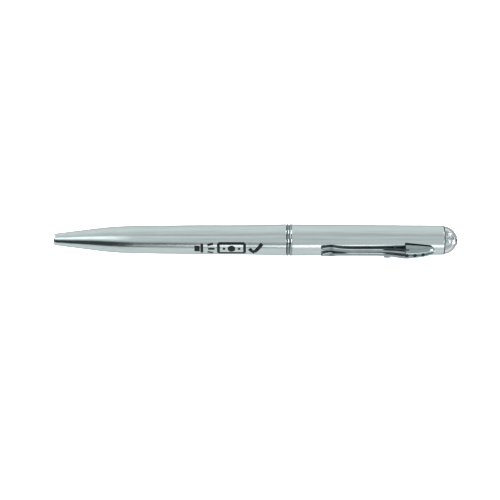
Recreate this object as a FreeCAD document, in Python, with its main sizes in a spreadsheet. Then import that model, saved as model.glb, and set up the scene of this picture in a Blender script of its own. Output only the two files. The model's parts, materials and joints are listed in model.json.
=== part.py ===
import FreeCAD, Part
import math
import os
import Sketcher
from FreeCAD import Placement, Rotation, Vector

# Counterfeit detector pen: a twist-action ballpoint whose rear end carries a UV lamp.
# The pen lies along X, nose at -X and lamp at +X, and its clip points along -Y.
# The origin is on the axis, in the middle of the straight grip stretch of the lower barrel.
# "Station" means the distance behind the nose face, so x = nose_x + station.

DRIVING_SIZES = {
    # lower barrel
    "nose_x": -57.0, "nose_face_r": 1.80, "nose_edge": 0.5, "nose_edge_r": 2.05,
    "cone_end": 14.4, "cone_end_r": 3.79, "knee_end": 27.4, "knee_end_r": 4.67, "knee_arc": 115.0,
    "grip_start": 49.0, "grip_end": 65.0, "grip_r": 5.0, "lower_end": 78.45, "lower_end_r": 5.32,
    "nose_bore_r": 1.25, "spring_shoulder": 9.0, "spring_bore_r": 2.2,
    "rear_bore": 62.0, "rear_bore_r": 3.95,
    # refill, of the standard 67 mm by 2.35 mm kind
    "tip_station": 0.9, "refill_length": 67.0, "refill_r": 1.175, "ball_r": 0.35, "tip_point_r": 0.5,
    "tip_cone": 3.4, "tip_cone_r": 0.85, "tip_length": 9.0, "refill_wall": 0.3, "ink_length": 42.0,
    "stop_length": 2.5, "refill_travel": 4.5,
    # return spring and the collar crimped on the refill
    "spring_wire": 0.3, "spring_mean_r": 1.62, "spring_turns": 9.0, "spring_length": 19.0,
    "collar_r": 1.95, "collar_length": 1.2,
    # twist mechanism
    "guide_r": 3.0, "guide_bore_r": 1.75, "guide_flange": 3.0, "guide_end": 77.0, "running_gap": 0.05,
    "pin_r": 0.5, "pin_station": 72.0, "pin_top": 3.7, "pin_foot": 1.2,
    "pusher_lip": 1.9, "pusher_end": 75.0, "slot_play": 0.2, "turn_deg": 180.0,
    "sleeve_start": 65.3, "sleeve_end": 84.0, "sleeve_r": 3.88, "sleeve_bore_r": 3.07,
    "keeper_start": 76.1, "keeper_end": 77.3, "keeper_bore_r": 3.55, "keeper_split": 1.6,
    "keeper_play": 0.1,
    # centre ring and joint plug
    "ring_start": 78.75, "ring_end": 80.6, "ring_groove_r": 5.13, "bead": 0.75, "bead_arc_r": 0.4,
    "plug_end": 92.0, "plug_r": 4.28, "plug_wall": 2.0, "plug_recess_r": 3.2,
    "oring_station": 88.9, "oring_wire_r": 0.19, "oring_groove_r": 3.93, "oring_groove": 0.3,
    "contact_wire": 0.4, "contact_mean_r": 2.5, "contact_turns": 4.0, "contact_gap": 0.15,
    # upper barrel
    "upper_front_r": 5.30, "upper_end": 132.0, "upper_end_r": 5.0, "upper_edge": 0.2, "upper_bore_r": 4.35,
    # button cells, 7.9 mm by 3.6 mm each
    "cell_start": 95.0, "cell_r": 3.95, "cell_length": 3.6, "cell_cap_r": 3.1, "cell_cap": 0.45,
    "cell_edge": 0.3, "carrier_bore_r": 4.0, "carrier_overhang": 2.2, "contact_plate": 0.3,
    "contact_plate_r": 3.4,
    # lamp electronics, laid out along the push button's direction
    "button_angle": 140.0, "button_station": 113.0, "button_r": 1.2, "button_top": 6.1, "button_crown": 0.3,
    "button_flange_r": 1.6, "button_flange_low": 3.2, "button_flange": 0.6, "button_play": 0.1,
    "board_start": 107.4, "board_end": 126.6, "board_half_width": 3.3, "board_half_thick": 0.4,
    "switch_length": 4.0, "switch_half_width": 1.5, "switch_top": 1.9, "plunger_r": 0.6, "plunger_low": 0.9,
    "resistor_station": 119.5, "resistor_length": 2.0, "resistor_half_width": 0.65, "resistor_height": 0.55,
    # lamp end
    "holder_start": 128.2, "holder_end": 131.2, "holder_bore_r": 1.0, "lead_r": 0.22, "lead_length": 6.7,
    "led_flange_r": 1.9, "led_flange": 0.8, "led_r": 1.5, "led_tip": 136.8,
    "dome_arc": 4.75, "dome_rim_r": 4.748, "dome_hole_r": 1.6, "dome_end": 136.322, "dome_play": 0.05,
    # clip head
    "head_start": 118.6, "head_end": 128.8, "head_front_y": -7.6, "head_rear_y": -5.8, "head_arc": 20.0,
    "head_base_y": -3.0, "head_crown_y": -8.4, "head_front_base": 2.6, "head_front_crown": 2.0,
    "head_rear_base": 1.9, "head_rear_crown": 1.1,
    "pocket_end": 120.6, "pocket_low_y": -6.25, "pocket_high_y": -7.15, "pocket_half_width": 1.6,
    "stud_r": 0.55, "stud_first": 119.3, "stud_pitch": 2.7, "stud_foot": 7.3, "stud_drop": 0.22,
    "stud_length": 0.45,
    "rivet_r": 0.5, "rivet_first": 122.0, "rivet_pitch": 4.0, "rivet_foot": 3.95, "rivet_length": 1.8,
    # clip arm
    "arm_tip": 90.3, "arm_touch": 93.6, "arm_straight": 98.0, "arm_rise": 112.0, "arm_root": 118.4,
    "tip_low_y": -5.75, "tip_high_y": -6.2, "touch_low_y": -5.3, "touch_high_y": -5.9,
    "straight_low_y": -5.6, "straight_high_y": -6.2, "rise_low_y": -5.65, "rise_high_y": -6.3,
    "root_low_y": -6.3, "root_high_y": -7.25,
    "tongue_end": 120.3, "tongue_low_y": -6.45, "tongue_high_y": -6.95, "tongue_half_width": 1.4,
    "arm_half_width": 1.9, "flare_half_width": 2.25, "root_half_width": 2.1,
    "fork_gap": 0.35, "fork_depth": 2.2,
    "fork_corner": 1.75,
    # how far a shape that cuts or trims another runs past it
    "overshoot": 1.0,
    # the pen's roll about its axis as it lies on a table, which brings the clip's head down to the surface
    "lie_angle": 32.0,
}

DOC = FreeCAD.newDocument("detector_pen")
SHEET = DOC.addObject("Spreadsheet::Sheet", "Sizes")
SUB_PARTS = []


class Size:
    """A number of millimetres or degrees, with the expression that ties a feature to the sheet."""

    def __init__(self, value, text):
        self.value = value
        self.text = text

    def __add__(self, other):
        other = as_size(other)
        return Size(self.value + other.value, f"({self.text} + {other.text})")

    def __sub__(self, other):
        other = as_size(other)
        return Size(self.value - other.value, f"({self.text} - {other.text})")

    def __mul__(self, factor):
        factor = as_size(factor)
        return Size(self.value * factor.value, f"({self.text} * {factor.text})")

    def __truediv__(self, divisor):
        divisor = as_size(divisor)
        return Size(self.value / divisor.value, f"({self.text} / {divisor.text})")

    def __neg__(self):
        return Size(-self.value, f"(0 - {self.text})")


def as_size(number):
    """Lets a plain number stand beside a Size."""
    if isinstance(number, Size):
        return number
    return Size(float(number), f"({float(number):.9f})")


class Sizes:
    """The sheet's aliases, read as attributes."""


def fill_sheet():
    """Writes every driving size to the sheet and gives it its alias."""
    sizes = Sizes()
    for row, (alias, number) in enumerate(DRIVING_SIZES.items(), start=1):
        SHEET.set(f"A{row}", alias)
        SHEET.set(f"B{row}", str(number))
        SHEET.setAlias(f"B{row}", alias)
        setattr(sizes, alias, Size(float(number), f"Sizes.{alias}"))
    DOC.recompute()
    return sizes


d = fill_sheet()


def at(station):
    """The x of a station along the pen."""
    return d.nose_x + station


def bind(feature, name, size):
    """Ties one property of a feature to the sheet."""
    feature.setExpression(name, as_size(size).text)


def keep(feature):
    """Counts a finished object as one of the pen's sub-parts."""
    SUB_PARTS.append(feature)
    return feature


# ---- shapes drawn in a sketch ---------------------------------------------------------------

def arc_between(start, end, radius):
    """The short arc from start to end: it turns left for a positive radius, right for a negative one."""
    across = end - start
    middle = (start + end) * 0.5
    left = Vector(-across.y, across.x, 0).normalize()
    rise = math.sqrt(radius ** 2 - (across.Length / 2) ** 2)
    centre = middle + left * math.copysign(rise, radius)
    from_angle = math.atan2(start.y - centre.y, start.x - centre.x)
    to_angle = math.atan2(end.y - centre.y, end.x - centre.x)
    circle = Part.Circle(centre, Vector(0, 0, 1), abs(radius))
    if radius > 0:
        return Part.ArcOfCircle(circle, from_angle, to_angle), 1, 2
    return Part.ArcOfCircle(circle, to_angle, from_angle), 2, 1


def draw_outline(sketch, corners, arcs):
    """Draws a closed outline whose every corner is pinned by two dimensions of the sheet."""
    points = [Vector(as_size(a).value, as_size(b).value, 0) for a, b in corners]
    ends = []
    for index, point in enumerate(points):
        following = points[(index + 1) % len(points)]
        if index in arcs:
            curve, first, last = arc_between(point, following, arcs[index].value)
        else:
            curve, first, last = Part.LineSegment(point, following), 1, 2
        sketch.addGeometry(curve, False)
        ends.append((first, last))
    for index, (along, across) in enumerate(corners):
        before = index - 1 if index else len(corners) - 1
        touching = (before, ends[before][1], index, ends[index][0])
        sketch.addConstraint(Sketcher.Constraint("Coincident", *touching))
        for kind, coordinate in (("DistanceX", along), ("DistanceY", across)):
            size = as_size(coordinate)
            number = sketch.addConstraint(Sketcher.Constraint(kind, index, ends[index][0], size.value))
            name = f"{kind}_{index}"
            sketch.renameConstraint(number, name)
            bind(sketch, f"Constraints.{name}", size)
    for index, radius in arcs.items():
        number = sketch.addConstraint(Sketcher.Constraint("Radius", index, abs(radius.value)))
        sketch.renameConstraint(number, f"Arc_{index}")
        bind(sketch, f"Constraints.Arc_{index}", radius if radius.value > 0 else -radius)


def new_sketch(body, plane, offset):
    """A sketch on one of the body's own planes, moved along the plane's normal by offset."""
    sketch = body.newObject("Sketcher::SketchObject", body.Name + "_outline")
    plane_feature = [item for item in body.Origin.OriginFeatures if item.Role == plane][0]
    sketch.AttachmentSupport = [(plane_feature, "")]
    sketch.MapMode = "FlatFace"
    bind(sketch, "AttachmentOffset.Base.z", offset)
    return sketch


def turned(label, corners, arcs=None):
    """A piece turned about the pen's axis from an outline of corners (x, radius)."""
    body = DOC.addObject("PartDesign::Body", label)
    sketch = new_sketch(body, "XY_Plane", 0)
    draw_outline(sketch, corners, arcs or {})
    turn = body.newObject("PartDesign::Revolution", label + "_turn")
    turn.Profile = sketch
    turn.ReferenceAxis = (sketch, ["H_Axis"])
    turn.Angle = 360
    return body


def prism(label, plane, corners, low, high, arcs=None):
    """A straight-sided block: an outline on one plane, padded along its normal from low to high."""
    body = DOC.addObject("PartDesign::Body", label)
    sketch = new_sketch(body, plane, low)
    draw_outline(sketch, corners, arcs or {})
    pad = body.newObject("PartDesign::Pad", label + "_pad")
    pad.Profile = sketch
    bind(pad, "Length", as_size(high) - low)
    return body


def lofted(label, sections):
    """A block lofted between outlines (y, z) that stand across the pen at two stations."""
    body = DOC.addObject("PartDesign::Body", label)
    sketches = []
    for x, corners in sections:
        sketch = new_sketch(body, "YZ_Plane", x)
        draw_outline(sketch, corners, {})
        sketches.append(sketch)
    loft = body.newObject("PartDesign::AdditiveLoft", label + "_loft")
    loft.Profile = sketches[0]
    loft.Sections = sketches[1:]
    loft.Ruled = True
    return body


def facing_button(body):
    """Turns a piece drawn with +Z outwards so that it faces the push button."""
    body.Placement = Placement(Vector(0, 0, 0), Rotation(Vector(1, 0, 0), d.button_angle.value))
    return body


# ---- primitives and booleans ----------------------------------------------------------------

def bar(label, x, radius, length):
    """A round bar on the pen's axis, from x towards +X."""
    cylinder = DOC.addObject("Part::Cylinder", label)
    cylinder.Placement = Placement(Vector(0, 0, 0), Rotation(Vector(0, 1, 0), 90))
    bind(cylinder, "Placement.Base.x", x)
    bind(cylinder, "Radius", radius)
    bind(cylinder, "Height", length)
    return cylinder


def spoke(label, x, radius, start, end, angle, end_radius=None):
    """A round bar that points outwards from the axis; angle turns +Z towards -Y."""
    kind = "Part::Cylinder" if end_radius is None else "Part::Cone"
    stick = DOC.addObject(kind, label)
    turn = math.radians(angle)
    stick.Placement = Placement(Vector(0, 0, 0), Rotation(Vector(1, 0, 0), angle))
    bind(stick, "Placement.Base.x", x)
    bind(stick, "Placement.Base.y", as_size(start) * -math.sin(turn))
    bind(stick, "Placement.Base.z", as_size(start) * math.cos(turn))
    if end_radius is None:
        bind(stick, "Radius", radius)
    else:
        bind(stick, "Radius1", radius)
        bind(stick, "Radius2", end_radius)
    bind(stick, "Height", as_size(end) - start)
    return stick


def cut(label, base, tool):
    """The base with the tool's space taken out."""
    result = DOC.addObject("Part::Cut", label)
    result.Base = base
    result.Tool = tool
    return result


def fused(label, shapes):
    """Several overlapping shapes made one."""
    result = DOC.addObject("Part::MultiFuse", label)
    result.Shapes = shapes
    return result


def common(label, shapes):
    """The space that all the shapes share."""
    result = DOC.addObject("Part::MultiCommon", label)
    result.Shapes = shapes
    return result


def coil(label, x, mean_radius, wire, turns, length):
    """A spring along the pen's axis: a round wire swept along a helix."""
    helix = DOC.addObject("Part::Helix", label + "_helix")
    helix.Placement = Placement(Vector(0, 0, 0), Rotation(Vector(0, 1, 0), 90))
    bind(helix, "Placement.Base.x", x)
    bind(helix, "Radius", mean_radius)
    bind(helix, "Height", length)
    bind(helix, "Pitch", length / turns)
    section = DOC.addObject("Part::Circle", label + "_wire")
    section.Placement = Placement(Vector(0, 0, 0), Rotation(Vector(1, 0, 0), -90))
    bind(section, "Placement.Base.x", x)
    bind(section, "Placement.Base.z", -mean_radius)
    bind(section, "Radius", wire / 2)
    sweep = DOC.addObject("Part::Sweep", label)
    sweep.Sections = [section]
    sweep.Spine = (helix, [])
    sweep.Solid = True
    sweep.Frenet = True
    return sweep


# ---- lower barrel and refill ----------------------------------------------------------------

def make_lower_barrel():
    """The turned aluminium front half, bored in three steps from its rear end."""
    keep(turned("lower_barrel", [
        (at(0), d.nose_face_r),
        (at(d.nose_edge), d.nose_edge_r),
        (at(d.cone_end), d.cone_end_r),
        (at(d.knee_end), d.knee_end_r),
        (at(d.grip_start), d.grip_r),
        (at(d.grip_end), d.grip_r),
        (at(d.lower_end), d.lower_end_r),
        (at(d.lower_end), d.rear_bore_r),
        (at(d.rear_bore), d.rear_bore_r),
        (at(d.rear_bore), d.spring_bore_r),
        (at(d.spring_shoulder), d.spring_bore_r),
        (at(d.spring_shoulder), d.nose_bore_r),
        (at(0), d.nose_bore_r),
    ], arcs={2: -d.knee_arc}))


def make_refill():
    """Ballpoint refill: ball, brass tip, plastic tube, ink, end stop and crimped spring collar."""
    point = at(d.tip_station)
    rear = point + d.refill_length
    tube_bore = d.refill_r - d.refill_wall
    tube_start = point + d.tip_length
    seat = d.ball_r * 0.5
    ball = DOC.addObject("Part::Sphere", "writing_ball")
    bind(ball, "Radius", d.ball_r)
    bind(ball, "Placement.Base.x", point + d.ball_r)
    keep(ball)
    tip_blank = turned("refill_tip_blank", [
        (point + seat, 0),
        (point + seat, d.tip_point_r),
        (point + d.tip_cone, d.tip_cone_r),
        (point + d.tip_cone, d.refill_r),
        (tube_start, d.refill_r),
        (tube_start, 0),
    ])
    socket = DOC.addObject("Part::Sphere", "ball_socket")
    bind(socket, "Radius", d.ball_r)
    bind(socket, "Placement.Base.x", point + d.ball_r)
    keep(cut("refill_tip", tip_blank, socket))
    keep(turned("refill_tube", [
        (tube_start, tube_bore),
        (tube_start, d.refill_r),
        (rear, d.refill_r),
        (rear, tube_bore),
    ]))
    keep(bar("refill_ink", tube_start, tube_bore, d.ink_length))
    keep(bar("refill_stop", rear - d.stop_length, tube_bore, d.stop_length))
    collar = at(d.spring_shoulder) + d.spring_length + d.spring_wire
    keep(turned("spring_collar", [
        (collar, d.refill_r),
        (collar, d.collar_r),
        (collar + d.collar_length, d.collar_r),
        (collar + d.collar_length, d.refill_r),
    ]))
    keep(coil("return_spring", at(d.spring_shoulder) + d.spring_wire / 2,
              d.spring_mean_r, d.spring_wire, d.spring_turns, d.spring_length))


# ---- twist mechanism ------------------------------------------------------------------------

def make_guide():
    """The fixed guide tube, whose straight slot keeps the pin from turning."""
    blank = turned("guide_blank", [
        (at(d.rear_bore), d.guide_bore_r),
        (at(d.rear_bore), d.rear_bore_r),
        (at(d.rear_bore) + d.guide_flange, d.rear_bore_r),
        (at(d.rear_bore) + d.guide_flange, d.guide_r),
        (at(d.guide_end), d.guide_r),
        (at(d.guide_end), d.guide_bore_r),
    ])
    half_width = d.pin_r + d.running_gap
    front = at(d.pin_station) - d.refill_travel - d.pin_r - d.slot_play
    back = at(d.pin_station) + d.pin_r + d.slot_play
    slot = prism("guide_slot", "XY_Plane", [
        (front, -half_width),
        (back, -half_width),
        (back, half_width),
        (front, half_width),
    ], 0, d.rear_bore_r)
    keep(cut("mech_guide", blank, slot))


def make_pusher():
    """The pusher that carries the refill, and the steel pin across it."""
    rear = at(d.tip_station) + d.refill_length
    radius = d.guide_bore_r - d.running_gap
    blank = turned("pusher_blank", [
        (rear - d.pusher_lip, d.refill_r),
        (rear - d.pusher_lip, radius),
        (at(d.pusher_end), radius),
        (at(d.pusher_end), 0),
        (rear, 0),
        (rear, d.refill_r),
    ])
    pin = spoke("cam_pin", at(d.pin_station), d.pin_r, -d.pin_foot, d.pin_top, 0)
    hole = spoke("pin_hole", at(d.pin_station), d.pin_r, -d.pin_foot, d.pin_top, 0)
    keep(cut("pusher", blank, hole))
    keep(pin)


def make_cam_sleeve():
    """The turning sleeve: its helical slot drives the pin forward over half a turn."""
    steps = 24
    blank = turned("sleeve_blank", [
        (at(d.sleeve_start), d.sleeve_bore_r),
        (at(d.sleeve_start), d.sleeve_r),
        (at(d.keeper_start) - d.keeper_play, d.sleeve_r),
        (at(d.keeper_start) - d.keeper_play, d.keeper_bore_r - d.running_gap),
        (at(d.keeper_end) + d.keeper_play, d.keeper_bore_r - d.running_gap),
        (at(d.keeper_end) + d.keeper_play, d.sleeve_r),
        (at(d.sleeve_end), d.sleeve_r),
        (at(d.sleeve_end), d.sleeve_bore_r),
    ])
    cutters = []
    for step in range(steps + 1):
        share = step / steps
        x = at(d.pin_station) - d.refill_travel * share
        turn = -share * d.turn_deg.value
        cutters.append(spoke(f"slot_cutter_{step}", x, d.pin_r + d.slot_play, 0, d.upper_bore_r, turn))
    keep(cut("cam_sleeve", blank, fused("helical_slot", cutters)))


def make_keeper():
    """The split ring that holds the sleeve in the lower barrel."""
    whole = turned("keeper_blank", [
        (at(d.keeper_start), d.keeper_bore_r),
        (at(d.keeper_start), d.rear_bore_r),
        (at(d.keeper_end), d.rear_bore_r),
        (at(d.keeper_end), d.keeper_bore_r),
    ])
    half_split = d.keeper_split / 2
    split = prism("keeper_split", "XY_Plane", [
        (at(d.keeper_start) - 1, -half_split),
        (at(d.keeper_end) + d.overshoot, -half_split),
        (at(d.keeper_end) + d.overshoot, half_split),
        (at(d.keeper_start) - 1, half_split),
    ], -d.rear_bore_r - 1, 0)
    keep(cut("retaining_ring", whole, split))


# ---- centre ring and joint plug -------------------------------------------------------------

def make_centre_joint():
    """The double-beaded ring, the plug that the upper barrel pushes onto, its O-ring and spring contact."""
    front_groove = at(d.ring_start) + d.bead
    rear_groove = at(d.ring_end) - d.bead
    keep(turned("centre_ring", [
        (at(d.ring_start), d.plug_r),
        (at(d.ring_start), d.ring_groove_r),
        (front_groove, d.ring_groove_r),
        (rear_groove, d.ring_groove_r),
        (at(d.ring_end), d.ring_groove_r),
        (at(d.ring_end), d.plug_r),
    ], arcs={1: -d.bead_arc_r, 3: -d.bead_arc_r}))
    wall_end = at(d.sleeve_end) + d.plug_wall
    groove_start = at(d.oring_station) - d.oring_groove
    groove_end = at(d.oring_station) + d.oring_groove
    keep(turned("joint_plug", [
        (at(d.ring_start), d.sleeve_r),
        (at(d.ring_start), d.plug_r),
        (groove_start, d.plug_r),
        (groove_start, d.oring_groove_r),
        (groove_end, d.oring_groove_r),
        (groove_end, d.plug_r),
        (at(d.plug_end), d.plug_r),
        (at(d.plug_end), d.plug_recess_r),
        (wall_end, d.plug_recess_r),
        (wall_end, 0),
        (at(d.sleeve_end), 0),
        (at(d.sleeve_end), d.sleeve_r),
    ]))
    oring = DOC.addObject("Part::Torus", "grip_o_ring")
    oring.Placement = Placement(Vector(0, 0, 0), Rotation(Vector(0, 1, 0), 90))
    bind(oring, "Placement.Base.x", at(d.oring_station))
    bind(oring, "Radius1", d.oring_groove_r + d.oring_wire_r)
    bind(oring, "Radius2", d.oring_wire_r)
    keep(oring)
    reach = at(d.cell_start) - wall_end - d.contact_wire - d.contact_gap
    keep(coil("contact_spring", wall_end + d.contact_wire / 2,
              d.contact_mean_r, d.contact_wire, d.contact_turns, reach))


# ---- upper barrel, cells and lamp -----------------------------------------------------------

def make_upper_barrel():
    """The rear half: a thin tapered tube with a hole for the button and two for the clip's rivets."""
    tube = turned("upper_blank", [
        (at(d.ring_end), d.upper_bore_r),
        (at(d.ring_end), d.upper_front_r),
        (at(d.upper_end) - d.upper_edge, d.upper_end_r),
        (at(d.upper_end), d.upper_end_r - d.upper_edge),
        (at(d.upper_end), d.upper_bore_r),
    ])
    button_hole = spoke("button_hole", at(d.button_station), d.button_r + d.button_play,
                        0, d.button_top, d.button_angle.value)
    keep(cut("upper_barrel", tube, fused("barrel_holes", [button_hole] + rivets("barrel_rivet"))))


def rivets(name):
    """Two pins that hold the clip head to the barrel wall."""
    towards_clip = 90
    return [
        spoke(f"{name}_{number}", at(d.rivet_first) + d.rivet_pitch * number, d.rivet_r,
              d.rivet_foot, d.rivet_foot + d.rivet_length, towards_clip)
        for number in range(2)
    ]


def make_cells():
    """Three button cells in line in a plastic carrier, and the brass plate behind them."""
    for number in range(3):
        start = at(d.cell_start) + d.cell_length * number
        shoulder = start + d.cell_length - d.cell_cap
        keep(turned(f"cell_{number + 1}", [
            (start, 0),
            (start, d.cell_r - d.cell_edge),
            (start + d.cell_edge, d.cell_r),
            (shoulder - d.cell_edge, d.cell_r),
            (shoulder, d.cell_r - d.cell_edge),
            (shoulder, d.cell_cap_r),
            (start + d.cell_length, d.cell_cap_r),
            (start + d.cell_length, 0),
        ]))
    stack_end = at(d.cell_start) + d.cell_length * 3
    keep(turned("cell_carrier", [
        (at(d.cell_start) - d.carrier_overhang, d.carrier_bore_r),
        (at(d.cell_start) - d.carrier_overhang, d.upper_bore_r),
        (stack_end + d.contact_plate, d.upper_bore_r),
        (stack_end + d.contact_plate, d.carrier_bore_r),
    ]))
    keep(bar("contact_plate", stack_end, d.contact_plate_r, d.contact_plate))


def make_board():
    """The lamp's circuit board with its push switch, plunger and resistor."""
    low = -d.board_half_thick
    keep(facing_button(prism("circuit_board", "XY_Plane", [
        (at(d.board_start), -d.board_half_width),
        (at(d.board_end), -d.board_half_width),
        (at(d.board_end), d.board_half_width),
        (at(d.board_start), d.board_half_width),
    ], low, d.board_half_thick)))
    plate_end = at(d.cell_start) + d.cell_length * 3 + d.contact_plate
    keep(facing_button(prism("contact_tab", "XY_Plane", [
        (plate_end, -d.switch_half_width),
        (at(d.board_start) + d.switch_half_width, -d.switch_half_width),
        (at(d.board_start) + d.switch_half_width, d.switch_half_width),
        (plate_end, d.switch_half_width),
    ], low - d.contact_plate, low)))
    half_length = d.switch_length / 2
    case = facing_button(prism("switch_block", "XY_Plane", [
        (at(d.button_station) - half_length, -d.switch_half_width),
        (at(d.button_station) + half_length, -d.switch_half_width),
        (at(d.button_station) + half_length, d.switch_half_width),
        (at(d.button_station) - half_length, d.switch_half_width),
    ], d.board_half_thick, d.switch_top))
    angle = d.button_angle.value
    well = spoke("plunger_well", at(d.button_station), d.plunger_r + d.running_gap,
                 d.board_half_thick, d.switch_top, angle)
    keep(cut("switch_case", case, well))
    plunger = (at(d.button_station), d.plunger_r, d.plunger_low, d.button_flange_low, angle)
    keep(spoke("switch_plunger", *plunger))
    keep(facing_button(prism("resistor", "XY_Plane", [
        (at(d.resistor_station), -d.resistor_half_width),
        (at(d.resistor_station) + d.resistor_length, -d.resistor_half_width),
        (at(d.resistor_station) + d.resistor_length, d.resistor_half_width),
        (at(d.resistor_station), d.resistor_half_width),
    ], d.board_half_thick, d.board_half_thick + d.resistor_height)))


def make_button():
    """The lamp's push button: a crowned stem with a flange that keeps it in the barrel."""
    x = at(d.button_station)
    angle = d.button_angle.value
    shoulder = d.button_top - d.button_crown
    flange = spoke("button_flange", x, d.button_flange_r, d.button_flange_low,
                   d.button_flange_low + d.button_flange, angle)
    stem = spoke("button_stem", x, d.button_r, d.button_flange_low, shoulder, angle)
    crown = spoke("button_crown", x, d.button_r, shoulder, d.button_top, angle,
                  end_radius=d.button_r - d.button_crown)
    keep(fused("push_button", [flange, stem, crown]))


def make_lamp():
    """The UV lamp end: LED and leads in a plastic holder, behind a clear domed lens."""
    keep(turned("led_holder", [
        (at(d.holder_start), d.holder_bore_r),
        (at(d.holder_start), d.upper_bore_r),
        (at(d.holder_end), d.upper_bore_r),
        (at(d.holder_end), d.holder_bore_r),
    ]))
    flange_end = at(d.holder_end) + d.led_flange
    keep(turned("led_lens", [
        (at(d.holder_end), 0),
        (at(d.holder_end), d.led_flange_r),
        (flange_end, d.led_flange_r),
        (flange_end, d.led_r),
        (at(d.led_tip) - d.led_r, d.led_r),
        (at(d.led_tip), 0),
    ], arcs={4: -d.led_r}))
    leads = []
    for number, side in enumerate((-1, 1)):
        lead = DOC.addObject("Part::Cylinder", f"lead_{number}")
        lead.Placement = Placement(Vector(0, 0, 0), Rotation(Vector(0, 1, 0), 90))
        away = (d.board_half_thick + d.lead_r) * side
        turn = math.radians(d.button_angle.value)
        bind(lead, "Placement.Base.x", at(d.holder_end) - d.lead_length)
        bind(lead, "Placement.Base.y", away * -math.sin(turn))
        bind(lead, "Placement.Base.z", away * math.cos(turn))
        bind(lead, "Radius", d.lead_r)
        bind(lead, "Height", d.lead_length)
        leads.append(lead)
    keep(fused("led_leads", leads))
    keep(turned("dome_lens", [
        (at(d.holder_end), d.led_flange_r + d.dome_play),
        (at(d.holder_end), d.upper_bore_r),
        (at(d.upper_end), d.upper_bore_r),
        (at(d.upper_end), d.dome_rim_r),
        (at(d.dome_end), d.dome_hole_r),
        (flange_end + d.dome_play, d.dome_hole_r),
        (flange_end + d.dome_play, d.led_flange_r + d.dome_play),
    ], arcs={3: -d.dome_arc}))


# ---- clip -----------------------------------------------------------------------------------

def make_clip_head():
    """The cast clip head: crowned along its top, narrower to the rear, and seated on the barrel."""
    side = prism("head_side", "XY_Plane", [
        (at(d.head_start), d.head_base_y),
        (at(d.head_start), d.head_front_y),
        (at(d.head_end), d.head_rear_y),
        (at(d.head_end), d.head_base_y),
    ], -d.head_front_base - d.overshoot, d.head_front_base + d.overshoot, arcs={1: d.head_arc})
    walls = lofted("head_walls", [
        (at(d.head_start), [
            (d.head_base_y, -d.head_front_base),
            (d.head_base_y, d.head_front_base),
            (d.head_crown_y, d.head_front_crown),
            (d.head_crown_y, -d.head_front_crown),
        ]),
        (at(d.head_end), [
            (d.head_base_y, -d.head_rear_base),
            (d.head_base_y, d.head_rear_base),
            (d.head_crown_y, d.head_rear_crown),
            (d.head_crown_y, -d.head_rear_crown),
        ]),
    ])
    seat = DOC.addObject("Part::Cone", "head_seat")
    seat.Placement = Placement(Vector(0, 0, 0), Rotation(Vector(0, 1, 0), 90))
    bind(seat, "Placement.Base.x", at(d.ring_end))
    bind(seat, "Radius1", d.upper_front_r)
    bind(seat, "Radius2", d.upper_end_r)
    bind(seat, "Height", d.upper_end - d.ring_end - d.upper_edge)
    pocket = prism("head_pocket", "XY_Plane", [
        (at(d.head_start) - 1, d.pocket_low_y),
        (at(d.pocket_end), d.pocket_low_y),
        (at(d.pocket_end), d.pocket_high_y),
        (at(d.head_start) - 1, d.pocket_high_y),
    ], -d.pocket_half_width, d.pocket_half_width)
    voids = [seat, pocket] + rivets("head_rivet") + studs("stud_seat")
    keep(cut("clip_head", common("head_block", [side, walls]), fused("head_voids", voids)))
    keep(fused("clip_studs", studs("stud")))
    keep(fused("clip_rivets", rivets("rivet")))


def studs(name):
    """Three small round studs in line along the head's crown, stepped down with its slope."""
    towards_clip = 90
    row = []
    for number in range(3):
        foot = d.stud_foot - d.stud_drop * number * (number + 1) / 2
        x = at(d.stud_first) + d.stud_pitch * number
        row.append(spoke(f"{name}_{number}", x, d.stud_r, foot, foot + d.stud_length, towards_clip))
    return row


def make_clip_arm():
    """The spring arm: it rises into the head, touches the barrel near its forked tip, then lifts."""
    side = prism("arm_side", "XY_Plane", [
        (at(d.arm_tip), d.tip_low_y),
        (at(d.arm_touch), d.touch_low_y),
        (at(d.arm_straight), d.straight_low_y),
        (at(d.arm_rise), d.rise_low_y),
        (at(d.arm_root), d.root_low_y),
        (at(d.arm_root), d.tongue_low_y),
        (at(d.tongue_end), d.tongue_low_y),
        (at(d.tongue_end), d.tongue_high_y),
        (at(d.arm_root), d.tongue_high_y),
        (at(d.arm_root), d.root_high_y),
        (at(d.arm_rise), d.rise_high_y),
        (at(d.arm_straight), d.straight_high_y),
        (at(d.arm_touch), d.touch_high_y),
        (at(d.arm_tip), d.tip_high_y),
    ], -d.flare_half_width - d.overshoot, d.flare_half_width + d.overshoot)
    half_plan = [
        (d.arm_tip, d.fork_gap),
        (d.arm_tip, d.fork_corner),
        (d.arm_touch, d.flare_half_width),
        (d.arm_straight, d.arm_half_width),
        (d.arm_rise, d.arm_half_width),
        (d.arm_root, d.root_half_width),
        (d.arm_root, d.tongue_half_width),
        (d.tongue_end, d.tongue_half_width),
    ]
    left = [(at(station), width) for station, width in half_plan]
    right = [(at(station), -width) for station, width in reversed(half_plan)]
    fork_root = [(at(d.arm_tip) + d.fork_depth, 0)]
    low = -d.touch_low_y - d.overshoot
    high = -d.root_high_y + d.overshoot
    plan = prism("arm_plan", "XZ_Plane", left + right + fork_root, low, high)
    keep(common("clip_arm", [side, plan]))


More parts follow.
